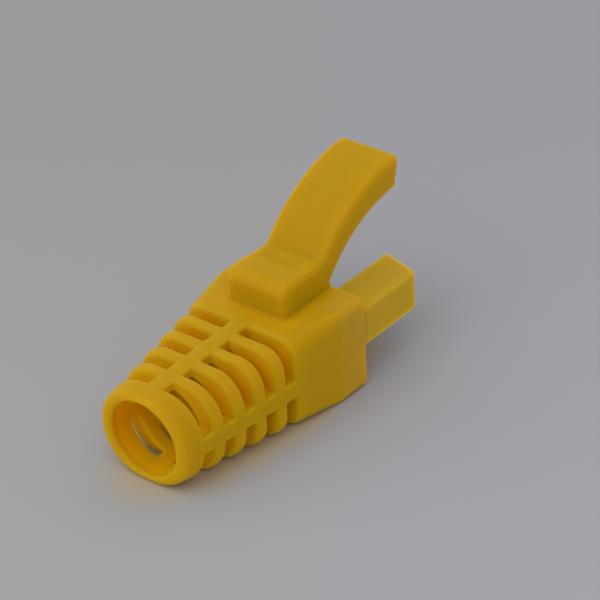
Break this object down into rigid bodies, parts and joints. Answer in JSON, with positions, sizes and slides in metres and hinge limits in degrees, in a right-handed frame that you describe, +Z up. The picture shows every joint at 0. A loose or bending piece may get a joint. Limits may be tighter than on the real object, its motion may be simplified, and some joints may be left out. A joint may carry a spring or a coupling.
{
  "type": "rj45 strain relief boot",
  "caption": "Slip-on strain relief boot for a modular data plug: slotted flexible tail, hollow plug end with side prongs, and a curved arm that guards the latch.",
  "frame": {"origin": "centre of the bottom of the boot's box, on the surface that it lies on", "axes": "+X along the cable towards the plug end, +Y across, +Z up, out of the side that carries the latch guard"},
  "size_m": [0.0316, 0.0132, 0.0172],
  "materials": {
    "moulded_plastic": "soft yellow moulding, satin, slightly translucent"
  },
  "bodies": {
    "root": {"boot": "moulded_plastic"}
  },
  "joints": []
}
